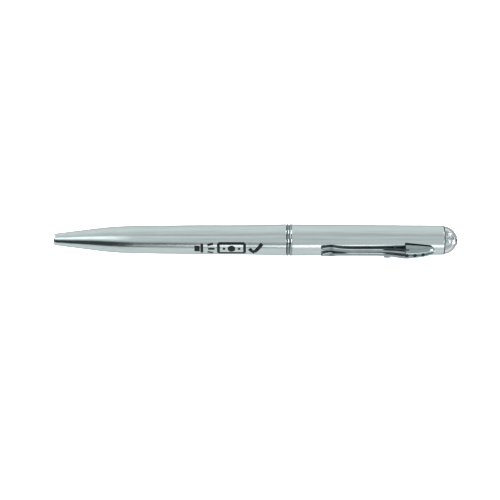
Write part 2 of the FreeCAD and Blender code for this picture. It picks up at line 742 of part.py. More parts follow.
def lay_down():
    """Rolls every sub-part about the pen's axis, from the clip level to the pen lying on a table."""
    roll = Placement(Vector(0, 0, 0), Rotation(Vector(1, 0, 0), d.lie_angle.value))
    cosine = "cos(Sizes.lie_angle * 1 deg)"
    sine = "sin(Sizes.lie_angle * 1 deg)"
    for part in SUB_PARTS:
        part.Placement = roll.multiply(part.Placement)
        tied = {path.strip("."): text for path, text in part.ExpressionEngine}
        if "Placement.Base.y" in tied:
            y = tied["Placement.Base.y"]
            z = tied["Placement.Base.z"]
            part.setExpression("Placement.Base.y", f"({y}) * {cosine} - ({z}) * {sine}")
            part.setExpression("Placement.Base.z", f"({y}) * {sine} + ({z}) * {cosine}")


def check_document():
    """Stops on any object that failed and on any sub-part that is empty or not valid."""
    DOC.recompute()
    for item in DOC.Objects:
        if "Invalid" in item.State or "Error" in item.State:
            raise RuntimeError(f"{item.Label} failed: {item.State}")
    for part in SUB_PARTS:
        if part.Shape.isNull() or not part.Shape.isValid():
            raise RuntimeError(f"{part.Label} is not a valid solid")


make_lower_barrel()
make_refill()
make_guide()
make_pusher()
make_cam_sleeve()
make_keeper()
make_centre_joint()
make_upper_barrel()
make_cells()
make_board()
make_button()
make_lamp()
make_clip_head()
make_clip_arm()
lay_down()
check_document()

os.makedirs("parts", exist_ok=True)
for part in SUB_PARTS:
    part.Shape.exportStep(f"parts/{part.Label}.step")
    print(f"{part.Label}: {len(part.Shape.Solids)} solid, {part.Shape.Volume:.2f} mm3")
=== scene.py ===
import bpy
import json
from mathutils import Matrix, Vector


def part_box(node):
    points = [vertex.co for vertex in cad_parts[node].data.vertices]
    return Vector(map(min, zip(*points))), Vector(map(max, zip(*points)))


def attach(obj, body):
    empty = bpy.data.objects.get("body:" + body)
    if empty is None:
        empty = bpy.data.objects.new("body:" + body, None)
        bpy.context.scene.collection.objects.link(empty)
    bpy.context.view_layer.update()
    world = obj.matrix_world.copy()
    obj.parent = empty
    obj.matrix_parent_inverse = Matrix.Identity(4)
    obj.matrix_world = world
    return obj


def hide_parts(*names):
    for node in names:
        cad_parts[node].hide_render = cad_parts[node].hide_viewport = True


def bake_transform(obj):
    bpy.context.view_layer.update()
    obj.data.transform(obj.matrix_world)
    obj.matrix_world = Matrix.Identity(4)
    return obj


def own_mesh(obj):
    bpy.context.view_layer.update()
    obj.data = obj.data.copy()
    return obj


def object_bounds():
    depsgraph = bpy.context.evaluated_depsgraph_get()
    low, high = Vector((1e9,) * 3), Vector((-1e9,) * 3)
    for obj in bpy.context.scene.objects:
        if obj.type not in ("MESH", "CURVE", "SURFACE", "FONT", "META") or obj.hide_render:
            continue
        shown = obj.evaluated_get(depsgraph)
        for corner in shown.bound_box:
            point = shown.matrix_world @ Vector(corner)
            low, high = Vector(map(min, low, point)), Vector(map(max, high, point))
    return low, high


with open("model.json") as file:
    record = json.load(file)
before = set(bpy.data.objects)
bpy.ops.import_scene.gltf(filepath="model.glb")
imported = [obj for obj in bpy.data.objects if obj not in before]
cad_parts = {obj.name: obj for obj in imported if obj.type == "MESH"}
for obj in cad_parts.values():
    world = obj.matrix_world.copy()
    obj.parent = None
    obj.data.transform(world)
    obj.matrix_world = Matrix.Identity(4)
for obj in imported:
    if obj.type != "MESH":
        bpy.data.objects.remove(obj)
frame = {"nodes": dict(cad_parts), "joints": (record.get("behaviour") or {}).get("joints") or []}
cad_box = [[float(number) for number in corner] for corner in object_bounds()]

import json
import math

import bmesh
import bpy
import numpy as np
from mathutils import Matrix, Vector

# ---- lower barrel ---------------------------------------------------------------------------
# The front half of the pen: a tube turned from aluminium bar, with a long tapered nose, a straight
# grip and a slow flare towards the ring. It is brushed lengthwise, then clear anodised.

MM = 0.001
NOSE_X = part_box("lower_barrel")[0].x
joints = {joint["name"]: joint for joint in frame["joints"]}
# The clip's hinge is square to the clip, so its axis shows how far the lying pen is rolled about X.
CLIP_HINGE = joints["clip_flex"]["axis"]
LYING = math.atan2(-CLIP_HINGE[1], CLIP_HINGE[2])
ROLL = np.array([[1, 0, 0], [0, math.cos(LYING), -math.sin(LYING)], [0, math.sin(LYING), math.cos(LYING)]])


def linear(hex_colour):
    """An sRGB colour such as "#8090A0" as the linear RGBA that shaders take."""
    parts = [int(hex_colour[start:start + 2], 16) / 255 for start in (1, 3, 5)]
    return [p / 12.92 if p <= 0.04045 else ((p + 0.055) / 1.055) ** 2.4 for p in parts] + [1.0]


def add(tree, kind, settings=None, sockets=None):
    """Adds one node: settings are its properties; sockets gives, by name or number, the value of an input
    or the output that is linked to it."""
    node = tree.nodes.new(kind)
    for name, value in (settings or {}).items():
        setattr(node, name, value)
    for name, value in (sockets or {}).items():
        if isinstance(value, bpy.types.NodeSocket):
            tree.links.new(value, node.inputs[name])
        else:
            node.inputs[name].default_value = value
    return node


def new_material(name):
    """An empty node material and its tree; the caller adds the shader and links it to the output."""
    material = bpy.data.materials.new(name)
    material.use_nodes = True
    material.node_tree.nodes.clear()
    return material, material.node_tree


def show(tree, shader):
    """Links a finished shader to the material's output."""
    add(tree, "ShaderNodeOutputMaterial", {}, {"Surface": shader.outputs[0]})


ARC_STEP = math.radians(11)
BROAD_RADIUS = 5.0
BROAD_STEPS = 24
RUN_MARGIN = 0.03


def rounded(corners, run=0.6):
    """A closed outline in millimetres. Each corner (along, across, radius) becomes an arc tangent to its
    two sides, in equal steps of at most the arc step, or in a fixed number if it is broad. The straight
    runs between arcs get points a margin inside their ends and about every run's length between them."""
    corners = np.array(corners, float)
    place, radius = corners[:, :2], corners[:, 2]
    back = np.roll(place, 1, 0) - place
    ahead = np.roll(place, -1, 0) - place
    back /= np.linalg.norm(back, axis=1)[:, None]
    ahead /= np.linalg.norm(ahead, axis=1)[:, None]
    half = np.arccos(np.clip((back * ahead).sum(1), -0.9999999, 0.9999999)) / 2
    reach = radius / np.tan(half)
    inward = (back + ahead) / np.linalg.norm(back + ahead, axis=1)[:, None]
    centre = place + inward * (radius / np.sin(half))[:, None]
    pieces = []
    for i in range(len(place)):
        first = place[i] + back[i] * reach[i]
        last = place[i] + ahead[i] * reach[i]
        sweep = math.pi - 2 * half[i]
        steps = max(2, int(math.ceil(sweep / ARC_STEP))) if radius[i] < BROAD_RADIUS else BROAD_STEPS
        from_centre = first - centre[i]
        turn_way = np.sign(np.cross(from_centre, last - centre[i]))
        angle = np.linspace(0, sweep, steps + 1) * turn_way
        arc = centre[i] + np.stack([
            from_centre[0] * np.cos(angle) - from_centre[1] * np.sin(angle),
            from_centre[0] * np.sin(angle) + from_centre[1] * np.cos(angle),
        ], 1)
        following = (i + 1) % len(place)
        next_first = place[following] + back[following] * reach[following]
        length = np.linalg.norm(next_first - last)
        near = min(RUN_MARGIN, length / 4)
        inner = np.linspace(near, length - near, max(2, int(length / run) + 1)) / max(length, 1e-9)
        pieces += [arc, last + (next_first - last) * inner[:, None]]
    return np.concatenate(pieces)


MERGE_DISTANCE = 2e-7


def grid_piece(name, grids, wrap_rows=False, wrap_columns=False, painted_shades=None):
    """One mesh from one or more grids of points (rows by columns by 3, in metres): neighbouring points
    make four-sided faces, a wrapped side closes on itself, and points that coincide are merged. The grids
    are worked out with the clip pointing along -Y; every point is then rolled about X by the angle at which
    the pen lies. Painted shade, one array for each grid, goes into a point attribute that darkens the
    chrome where shadow and dark reflections are painted on."""
    points, faces, used = [], [], 0
    for grid in grids:
        rows, columns = grid.shape[:2]
        index = np.arange(rows * columns).reshape(rows, columns) + used
        quads = np.stack([index, np.roll(index, -1, 0), np.roll(np.roll(index, -1, 0), -1, 1),
                          np.roll(index, -1, 1)], -1)
        quads = quads[:rows if wrap_rows else -1, :columns if wrap_columns else -1]
        points.append(grid.reshape(-1, 3))
        faces.append(quads.reshape(-1, 4))
        used += rows * columns
    mesh = bpy.data.meshes.new(name)
    mesh.from_pydata(np.concatenate(points) @ ROLL.T, [], np.concatenate(faces))
    if painted_shades is not None:
        # The attribute holds the painted shade that the chrome reads.
        depth = mesh.attributes.new("painted_shade", "FLOAT", "POINT")
        depth.data.foreach_set("value", np.concatenate([c.ravel() for c in painted_shades]).astype(np.float32))
    shell = bmesh.new()
    shell.from_mesh(mesh)
    bmesh.ops.remove_doubles(shell, verts=shell.verts, dist=MERGE_DISTANCE)
    bmesh.ops.dissolve_degenerate(shell, dist=MERGE_DISTANCE / 2, edges=shell.edges)
    bmesh.ops.recalc_face_normals(shell, faces=shell.faces)
    shell.to_mesh(mesh)
    shell.free()
    mesh.shade_smooth()
    piece = bpy.data.objects.new(name, mesh)
    bpy.context.scene.collection.objects.link(piece)
    return piece


def spun(name, outline, foot=(NOSE_X, 0, 0), axis=(1, 0, 0), steps=144, painted_shade=None):
    """A turned piece: the outline's (along, radius), in millimetres, carried round an axis through foot.
    Painted shade gives how dark the chrome is painted at each point of the outline, for the shade there."""
    axis = np.array(axis, float) / np.linalg.norm(axis)
    side = np.cross(axis, (0, 0, 1) if abs(axis[2]) < 0.9 else (0, 1, 0))
    side /= np.linalg.norm(side)
    turn = np.linspace(0, 2 * np.pi, steps, endpoint=False)[:, None]
    ring = np.cos(turn) * side + np.sin(turn) * np.cross(axis, side)
    along, radius = (outline * MM).T
    grid = np.array(foot) + along[:, None, None] * axis + radius[:, None, None] * ring[None]
    painted_shades = None if painted_shade is None else [np.repeat(painted_shade[:, None], steps, 1)]
    return grid_piece(name, [grid], wrap_rows=True, wrap_columns=True, painted_shades=painted_shades)


def finish_piece(piece, body, slot, material, *nodes):
    """Gives a piece its material and its CAD body, and hides the CAD nodes that it stands for. The slot is
    not used.
    """
    piece.data.materials.clear()
    piece.data.materials.append(material)
    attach(piece, body)
    if nodes:
        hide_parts(*nodes)
    return piece


def brushed_aluminium():
    """Anodised aluminium, brushed lengthwise: a soft grey sheen drawn out into fine level streaks.
    Real brushing is about 0.05 mm apart; it is drawn at 0.15 and 0.6 mm so that it shows."""
    material, tree = new_material("aluminium_brushed_anodised")
    place = add(tree, "ShaderNodeTexCoord").outputs["Object"]
    streaks = []
    for length_mm, spacing_mm in ((14, 0.15), (30, 0.6)):
        across = 1 / (spacing_mm * MM)
        stretched = add(tree, "ShaderNodeMapping", {}, {
            "Vector": place, "Scale": (1 / (length_mm * MM), across, across)})
        streaks.append(add(tree, "ShaderNodeTexNoise", {}, {
            "Vector": stretched.outputs[0], "Scale": 1.0, "Detail": 3.0, "Roughness": 0.6}))
    grain = add(tree, "ShaderNodeMix", {}, {
        "Factor": 0.4, "A": streaks[0].outputs["Fac"], "B": streaks[1].outputs["Fac"]})
    colour = add(tree, "ShaderNodeValToRGB", {}, {"Fac": grain.outputs["Result"]})
    colour.color_ramp.elements[0].position = 0.34
    colour.color_ramp.elements[0].color = linear("#C0CCCC")
    colour.color_ramp.elements[1].position = 0.66
    colour.color_ramp.elements[1].color = linear("#D6DFDF")
    roughness = add(tree, "ShaderNodeMapRange", {}, {
        "Value": grain.outputs["Result"], "From Min": 0.3, "From Max": 0.7, "To Min": 0.15, "To Max": 0.22})
    bump = add(tree, "ShaderNodeBump", {}, {
        "Height": grain.outputs["Result"], "Strength": 0.12, "Distance": 0.00003})
    show(tree, add(tree, "ShaderNodeBsdfPrincipled", {}, {
        "Base Color": colour.outputs["Color"], "Metallic": 1.0,
        "Roughness": roughness.outputs["Result"], "Normal": bump.outputs["Normal"]}))
    return material


aluminium = brushed_aluminium()
GRIP_START, GRIP_R = 49.0, 4.99
FLARE_START, FLARE_R = 65.0, 5.02
LOWER_END, LOWER_END_R = 78.66, 5.32
POINT_BORE_R = 1.27
REFILL_BORE_START, REFILL_BORE_R = 9.0, 2.2
MECHANISM_BORE_START, MECHANISM_BORE_R = 62.0, 3.95
lower_barrel = spun("lower_barrel_turned", rounded([
    (0.0, POINT_BORE_R, 0.12),
    (0.0, 1.86, 0.16),
    (0.55, 2.06, 0.6),
    (20.87, 4.60, 115.0),
    (GRIP_START, GRIP_R, 200.0),
    (FLARE_START, FLARE_R, 120.0),
    (LOWER_END, LOWER_END_R, 0.10),
    (LOWER_END, MECHANISM_BORE_R, 0.05),
    (MECHANISM_BORE_START, MECHANISM_BORE_R, 0.05),
    (MECHANISM_BORE_START, REFILL_BORE_R, 0.05),
    (REFILL_BORE_START, REFILL_BORE_R, 0.05),
    (REFILL_BORE_START, POINT_BORE_R, 0.05),
]), steps=192)
finish_piece(lower_barrel, "lower", "barrel_aluminium", aluminium, "lower_barrel")

# ---- printed sign ---------------------------------------------------------------------------
# A pad-printed sign on the grip, almost in line with the clip: a lamp that shines on a banknote, and a
# tick. The black ink is baked on and stands 0.02 mm proud of the metal.

INK_DEPTH = 0.02
INK_EDGE_SHARE = 0.5
PRINT_START = 47.6
PRINT_ABOVE_CLIP = 0.5


def lower_radius(station):
    """The lower barrel's outer radius at a station behind the nose's taper: straight, then flared."""
    return np.interp(station, [GRIP_START, FLARE_START, LOWER_END], [GRIP_R, FLARE_R, LOWER_END_R])


def ink_stroke(path, width, closed=False):
    """A stroke of ink along a path of (along, round) points in millimetres. Rows follow the path; columns
    go round a flat section, out to half the width each side, with mitred corners and an edge at half the
    ink's depth. The round distance is wrapped onto the barrel from a line a little above the clip's. An open
    stroke's ends shrink to a point, which closes them."""
    path = np.array(path, float)
    ahead = np.roll(path, -1, 0) - path
    behind = path - np.roll(path, 1, 0)
    if not closed:
        ahead[-1] = behind[-1]
        behind[0] = ahead[0]
    ahead /= np.linalg.norm(ahead, axis=1)[:, None]
    behind /= np.linalg.norm(behind, axis=1)[:, None]
    side = np.stack([-(ahead + behind)[:, 1], (ahead + behind)[:, 0]], 1)
    side /= (1 + (ahead * behind).sum(1))[:, None]
    across = np.array([-1, -0.98, -0.5, 0, 0.5, 0.98, 1, 1, 0.5, 0, -0.5, -1]) * width / 2
    proud = np.array([INK_EDGE_SHARE, 1, 1, 1, 1, 1, INK_EDGE_SHARE, -1, -1, -1, -1, -1]) * INK_DEPTH
    flat = path[:, None] + side[:, None] * across[None, :, None]
    along = flat[..., 0] + PRINT_START
    radius = lower_radius(along) + proud[None]
    angle = (flat[..., 1] + PRINT_ABOVE_CLIP) / lower_radius(along)
    grid = np.stack([NOSE_X + along * MM, -radius * np.cos(angle) * MM, radius * np.sin(angle) * MM], -1)
    if closed:
        return grid
    caps = [np.repeat(row.mean(0, keepdims=True), len(across), 0)[None] for row in (grid[0], grid[-1])]
    return np.concatenate([caps[0], grid, caps[1]])


def circle(centre, radius, steps=32):
    """Points round a circle on the flat print."""
    turn = np.linspace(0, 2 * np.pi, steps, endpoint=False)
    return np.array(centre) + radius * np.stack([np.cos(turn), np.sin(turn)], 1)


def box_path(left, low, right, high, step=0.5, cut=0.35):
    """Points round a rectangle on the flat print, its corners cut off at 45 degrees."""
    corners = [(left + cut, low), (right - cut, low), (right, low + cut), (right, high - cut),
               (right - cut, high), (left + cut, high), (left, high - cut), (left, low + cut)]
    points = []
    for start, end in zip(corners, corners[1:] + corners[:1]):
        pieces = max(1, int(math.dist(start, end) / step))
        points += [tuple(np.array(start) + (np.array(end) - start) * i / pieces) for i in range(pieces)]
    return points


def line_path(start, end, step=0.5):
    """Points along a straight stroke on the flat print."""
    pieces = max(2, int(math.dist(start, end) / step))
    return np.linspace(start, end, pieces + 1)


lamp_rays = [((4.5, 1.45), (6.4, 1.95)), ((4.7, 0.0), (6.9, 0.0)), ((4.5, -1.45), (6.4, -1.95))]
lamp_body = line_path((1.0, -1.2), (1.0, 1.2), 0.3)
lamp_head = line_path((2.6, -1.95), (2.6, 1.95), 0.3)
tick_foot = (20.1, -1.7)
tick = np.concatenate([line_path((18.6, 0.1), tick_foot)[:-1], line_path(tick_foot, (22.9, 2.1))])
note_edge = box_path(8.2, -2.05, 17.0, 2.05)
note_medallion = circle((12.6, 0.0), 0.65)
note_dots = [circle((10.05, 0.0), 0.25), circle((15.15, 0.0), 0.25)]
open_strokes = [(line_path(start, end), 0.85) for start, end in lamp_rays]
open_strokes += [(lamp_body, 1.8), (lamp_head, 0.95), (tick, 1.3)]
closed_strokes = [(note_edge, 0.95), (note_medallion, 1.28)] + [(dot, 0.48) for dot in note_dots]


def printed_ink():
    """Black pad-printing ink, baked on: satin, a little uneven in thickness, with the metal's brushing
    just telegraphing through. It is drawn at 0.2 mm, about the spacing of the brushing below it."""
    material, tree = new_material("ink_black_pad_printed")
    place = add(tree, "ShaderNodeTexCoord").outputs["Object"]
    stretched = add(tree, "ShaderNodeMapping", {}, {"Vector": place, "Scale": (150.0, 5000.0, 5000.0)})
    ridges = add(tree, "ShaderNodeTexNoise", {}, {
        "Vector": stretched.outputs[0], "Scale": 1.0, "Detail": 2.0})
    cover = add(tree, "ShaderNodeTexNoise", {}, {"Vector": place, "Scale": 1800.0, "Detail": 3.0})
    colour = add(tree, "ShaderNodeMix", {"data_type": "RGBA"}, {
        "Factor": cover.outputs["Fac"], "A": linear("#050708"), "B": linear("#0F1315")})
    roughness = add(tree, "ShaderNodeMapRange", {}, {
        "Value": cover.outputs["Fac"], "From Min": 0.3, "From Max": 0.7, "To Min": 0.45, "To Max": 0.6})
    bump = add(tree, "ShaderNodeBump", {}, {
        "Height": ridges.outputs["Fac"], "Strength": 0.15, "Distance": 0.00002})
    show(tree, add(tree, "ShaderNodeBsdfPrincipled", {}, {
        "Base Color": colour.outputs["Result"], "Roughness": roughness.outputs["Result"],
        "Specular IOR Level": 0.3, "Normal": bump.outputs["Normal"]}))
    return material


black_ink = printed_ink()
for number, (path, width) in enumerate(open_strokes, start=1):
    stroke = grid_piece(f"print_bar_{number}", [ink_stroke(path, width)], wrap_columns=True)
    finish_piece(stroke, "lower", "black_enamel", black_ink)
for number, (path, width) in enumerate(closed_strokes, start=1):
    stroke = grid_piece(f"print_loop_{number}", [ink_stroke(path, width, closed=True)],
                        wrap_rows=True, wrap_columns=True)
    finish_piece(stroke, "lower", "black_enamel", black_ink)

# ---- refill ---------------------------------------------------------------------------------
# A standard ballpoint refill: a carbide ball in a turned brass point, on a clear plastic tube of ink.
# Only the point shows, when half a turn of the barrel pushes it out of the nose.


def turned_metal(name, colour, dark_colour, roughness_value):
    """Plain turned metal: faint rings from the lathe, 0.12 mm apart, and a slightly uneven tarnish."""
    material, tree = new_material(name)
    place = add(tree, "ShaderNodeTexCoord").outputs["Object"]
    rings = add(tree, "ShaderNodeTexWave", {"wave_type": "BANDS", "bands_direction": "X"}, {
        "Vector": place, "Scale": 1 / (0.12 * MM) / (2 * math.pi), "Distortion": 0.6, "Detail": 1.0})
    tarnish = add(tree, "ShaderNodeTexNoise", {}, {"Vector": place, "Scale": 900.0, "Detail": 4.0})
    mixed = add(tree, "ShaderNodeMix", {"data_type": "RGBA"}, {
        "Factor": tarnish.outputs["Fac"], "A": linear(dark_colour), "B": linear(colour)})
    bump = add(tree, "ShaderNodeBump", {}, {
        "Height": rings.outputs["Fac"], "Strength": 0.08, "Distance": 0.00002})
    show(tree, add(tree, "ShaderNodeBsdfPrincipled", {}, {
        "Base Color": mixed.outputs["Result"], "Metallic": 1.0, "Roughness": roughness_value,
        "Normal": bump.outputs["Normal"]}))
    return material


brass = turned_metal("brass_turned", "#D9BE7C", "#BE9E58", 0.24)
carbide = turned_metal("carbide_ground", "#A9ACB0", "#8D9095", 0.16)
TIP_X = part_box("refill_tip")[0].x
SHOULDER_R = 1.17
TIP_LENGTH = 8.8
refill_tip = spun("refill_point", rounded([
    (0.0, 0.0, 0.0),
    (0.0, 0.36, 0.05),
    (0.5, 0.50, 0.2),
    (3.2, 0.85, 0.15),
    (3.3, 1.1, 0.08),
    (3.6, SHOULDER_R, 0.1),
    (TIP_LENGTH, SHOULDER_R, 0.05),
    (TIP_LENGTH, 0.0, 0.0),
], run=0.25), foot=(TIP_X, 0, 0), steps=96)
finish_piece(refill_tip, "refill", "refill_brass", brass, "refill_tip")

# ---- return spring --------------------------------------------------------------------------
# A compression spring wound from 0.3 mm steel wire. It stands on the nose's shoulder round the refill,
# and the collar on the refill presses it shorter as the point comes out.

spring_wire = turned_metal("spring_steel_wire", "#B9BBBE", "#95989C", 0.26)
COIL_LENGTH = 19.0
COIL_TURNS = 9
COIL_R = 1.62
WIRE_R = 0.15
STEPS_A_TURN = 36


def spring_surface():
    """Rows follow a helix of constant pitch that starts on the nose's shoulder, where the refill's bore
    begins; columns go round the wire, in a plane square to the helix's own slope.
    The wire's first and last rows shrink to a point, which closes its ends."""
    row = np.concatenate([[0.0], np.linspace(0, 1, COIL_TURNS * STEPS_A_TURN + 1), [1.0]])
    wire = np.full(len(row), WIRE_R)
    wire[[0, -1]] = 0
    turn = 2 * np.pi * COIL_TURNS * row
    section = np.linspace(0, 2 * np.pi, 13)[:-1]
    outward = np.stack([0 * turn, np.cos(turn), np.sin(turn)], -1)
    slope = COIL_LENGTH / (2 * np.pi * COIL_TURNS * COIL_R)
    lean = np.stack([1 + 0 * turn, slope * np.sin(turn), -slope * np.cos(turn)], -1) / math.hypot(1, slope)
    middle = COIL_R * outward
    middle[:, 0] = REFILL_BORE_START + WIRE_R + COIL_LENGTH * row
    ring = np.cos(section)[None, :, None] * outward[:, None] + np.sin(section)[None, :, None] * lean[:, None]
    return np.array((NOSE_X, 0, 0)) + (middle[:, None] + wire[:, None, None] * ring) * MM


return_spring = grid_piece("return_spring_wound", [spring_surface()], wrap_columns=True)
finish_piece(return_spring, "lower", "spring_steel", spring_wire, "return_spring")
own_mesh(return_spring)

# ---- centre ring ----------------------------------------------------------------------------
# A brass ring with two half-round beads and a groove between them, polished and chromium plated.
# It is pressed onto the joint plug and turns with the upper half.


def polished_chrome():
    """Chromium plate over polished metal: dark and bright reflections, a hint of blue, faint hairlines,
    and painted shade: a near-black mixed into the colour as far as the piece's point attribute asks,
    standing in for shadow in seams, grooves and gaps and for dark reflections."""
    material, tree = new_material("chrome_plated")
    place = add(tree, "ShaderNodeTexCoord").outputs["Object"]
    stretched = add(tree, "ShaderNodeMapping", {}, {"Vector": place, "Scale": (250.0, 2500.0, 2500.0)})
    hairlines = add(tree, "ShaderNodeTexNoise", {}, {
        "Vector": stretched.outputs[0], "Scale": 1.0, "Detail": 2.0})
    waviness = add(tree, "ShaderNodeTexNoise", {}, {"Vector": place, "Scale": 420.0, "Detail": 1.0})
    tint = add(tree, "ShaderNodeMix", {"data_type": "RGBA"}, {
        "Factor": waviness.outputs["Fac"], "A": linear("#8F9C9F"), "B": linear("#B0BBBD")})
    # Painted shade: the point attribute mixes near-black into the chrome for shadows and dark reflections.
    painted_shade_amount = add(tree, "ShaderNodeAttribute", {"attribute_name": "painted_shade"}).outputs["Fac"]
    painted_shade_mix = add(tree, "ShaderNodeMix", {"data_type": "RGBA"}, {
        "Factor": painted_shade_amount, "A": tint.outputs["Result"], "B": linear("#0E1416")})
    roughness = add(tree, "ShaderNodeMapRange", {}, {
        "Value": hairlines.outputs["Fac"], "From Min": 0.3, "From Max": 0.7, "To Min": 0.06, "To Max": 0.12})
    bump = add(tree, "ShaderNodeBump", {}, {
        "Height": waviness.outputs["Fac"], "Strength": 0.1, "Distance": 0.00004})
    show(tree, add(tree, "ShaderNodeBsdfPrincipled", {}, {
        "Base Color": painted_shade_mix.outputs["Result"], "Metallic": 1.0,
        "Roughness": roughness.outputs["Result"], "Normal": bump.outputs["Normal"]}))
    return material


def rising(value, start, width):
    """0 up to the start, then a straight rise to 1 over the width."""
    return np.clip((value - start) / width, 0, 1)


def bell(value, width):
    """1 where the value is 0, falling away on both sides in a bell curve of that width."""
    return np.exp(-(value / width) ** 2)


chrome = polished_chrome()
RING_START = 78.75
RING_END = 80.6
RING_BORE_R = 4.28
RING_FOOT_R = 5.055
RING_BEAD_LENGTH = 0.78
RING_BEAD_HEIGHT = 0.33
bead_angle = np.linspace(np.pi, 0, 19)
bead_curve = np.stack([RING_BEAD_LENGTH / 2 * np.cos(bead_angle), RING_BEAD_HEIGHT * np.sin(bead_angle)], 1)
ring_outline = np.concatenate([
    [(RING_START, RING_BORE_R)],
    bead_curve + (RING_START + RING_BEAD_LENGTH / 2, RING_FOOT_R),
    bead_curve + (RING_END - RING_BEAD_LENGTH / 2, RING_FOOT_R),
    [(RING_END, RING_BORE_R)],
])
# Painted shade darkens the ring's front edge at the seam with the lower barrel, and its groove, for the
# shadow there.
seam_painted_shade = rising(RING_START + 0.36 - ring_outline[:, 0], 0, 0.12)
groove_painted_shade = 0.85 * bell(ring_outline[:, 0] - (RING_START + RING_END) / 2, 0.16)
centre_ring = spun("centre_ring_beaded", ring_outline, steps=192,
                   painted_shade=np.clip(seam_painted_shade + groove_painted_shade, 0, 1))
finish_piece(centre_ring, "rotor", "chrome_trim", chrome, "centre_ring")

# ---- upper barrel ---------------------------------------------------------------------------
# The rear half: a thin aluminium tube, a little narrower towards the lamp, brushed and anodised like
# the lower one. It pushes onto the joint plug behind the ring.

UPPER_END = 132.0
UPPER_FRONT_R = 5.30
UPPER_REAR_R = 5.0
UPPER_BORE_R = 4.35
upper_barrel = spun("upper_barrel_turned", rounded([
    (RING_END, UPPER_BORE_R, 0.05),
    (RING_END, UPPER_FRONT_R, 0.08),
    (UPPER_END - 0.25, UPPER_REAR_R, 0.08),
    (UPPER_END, UPPER_REAR_R - 0.2, 0.05),
    (UPPER_END, UPPER_BORE_R, 0.05),
]), steps=192)
finish_piece(upper_barrel, "upper", "barrel_aluminium", aluminium, "upper_barrel")


def upper_radius(station):
    """The upper barrel's outer radius in millimetres at a station: a straight taper."""
    share = (station - RING_END) / (UPPER_END - RING_END)
    return UPPER_FRONT_R + (UPPER_REAR_R - UPPER_FRONT_R) * share


# ---- clip head ------------------------------------------------------------------------------
# A zinc casting, chromium plated: boxy in front, crowned along its top, and narrowing to a rounded
# stern. A fine groove runs along its crown, and its foot is undercut where it meets the barrel.

HEAD_START = 118.6
HEAD_END = 128.8
STERN = 2.0
FRONT_EDGE = 0.12
HEAD_FOOT = 4.2
BASE_HALF = 2.9
CROWN_HALF = 2.08
HEAD_NARROWING = 0.78
SQUARENESS = 3.6
CREST_STATION = 120.2
CREST_LEVEL = 7.66
CREST_R = 20.0
GROOVE_START, GROOVE_END = 118.9, 128.3
GROOVE_DEPTH = 0.09
FOOT_UNDERCUT = 0.06


def head_crest(station):
    """The level of the head's crown: a parabola that keeps close to a circle of the crest's radius."""
    return CREST_LEVEL - (station - CREST_STATION) ** 2 / (2 * CREST_R)


def head_surface():
    """Rows are stations, columns go over the head. Each section is a superellipse standing on the foot
    level, leaning in from the base half width to the crown half width, undercut at its foot and grooved
    along its crown. The front edge is a small quarter round, and the stern half an ellipse in plan.
    Painted shade is full at the foot, for the shadow where the head meets the barrel, on the far half of
    the front edge, for a dark reflection there, and along the groove, for the shade in it."""
    front = np.sin(np.linspace(0, np.pi / 2, 7))
    station = np.concatenate([
        np.full(6, HEAD_START),
        HEAD_START + FRONT_EDGE * (1 - np.sqrt(1 - front ** 2)),
        np.linspace(HEAD_START + FRONT_EDGE, HEAD_END - STERN, 60)[1:],
        HEAD_END - STERN * (1 - np.sin(np.linspace(0, np.pi / 2, 28)[1:])),
    ])
    face = 0.94
    shrink = np.concatenate([np.linspace(0, face, 6), face + (1 - face) * front, np.ones(len(station) - 13)])
    stern = np.sqrt(np.clip(1 - np.clip((station - (HEAD_END - STERN)) / STERN, 0, 1) ** 2, 0, 1))
    share = (station - HEAD_START) / (HEAD_END - HEAD_START)
    base_half = BASE_HALF - HEAD_NARROWING * share
    crown_half = CROWN_HALF - HEAD_NARROWING * share
    crest = head_crest(station)
    turn = np.linspace(0, np.pi, 97)
    power = 2 / SQUARENESS
    across = np.sign(np.cos(turn)) * np.abs(np.cos(turn)) ** power
    up = np.abs(np.sin(turn)) ** power
    half = base_half[:, None] + (crown_half - base_half)[:, None] * up[None]
    above_foot = up[None] * (crest - HEAD_FOOT)[:, None]
    undercut = FOOT_UNDERCUT * bell(np.clip(above_foot - 0.55, 0, None), 0.12)
    z = across[None] * (half - undercut) * stern[:, None]
    height = (crest - HEAD_FOOT)[:, None] * up[None]
    height *= 0.88 + 0.12 * stern[:, None]
    groove_ends = rising(station, GROOVE_START, 0.3) * rising(GROOVE_END - station, 0, 0.6)
    height -= GROOVE_DEPTH * bell(z, 0.11) * groove_ends[:, None] * (up[None] > 0.5)
    middle = (crest - HEAD_FOOT)[:, None] / 2
    z = z * shrink[:, None]
    height = middle + (height - middle) * shrink[:, None]
    x = np.repeat(station[:, None], len(turn), 1)
    # Painted shade: a shadow line at the foot, a dark reflection on the front edge, and shade in the groove.
    dark = rising(1.08 - above_foot, 0, 0.2)
    dark += rising(HEAD_START + 0.22 - station, 0, 0.06)[:, None] * rising(z, 0.9, 0.2)
    dark += bell(z, 0.24) * groove_ends[:, None]
    return np.stack([NOSE_X + x * MM, -(HEAD_FOOT + height) * MM, z * MM], -1), np.clip(dark, 0, 1)


head_points, head_painted_shade = head_surface()
clip_head = grid_piece("clip_head_cast", [head_points], wrap_columns=True, painted_shades=[head_painted_shade])
finish_piece(clip_head, "upper", "chrome_trim", chrome, "clip_head")

# ---- clip studs -----------------------------------------------------------------------------
# Three small black enamelled studs in line along the head's crown, pressed into its groove.


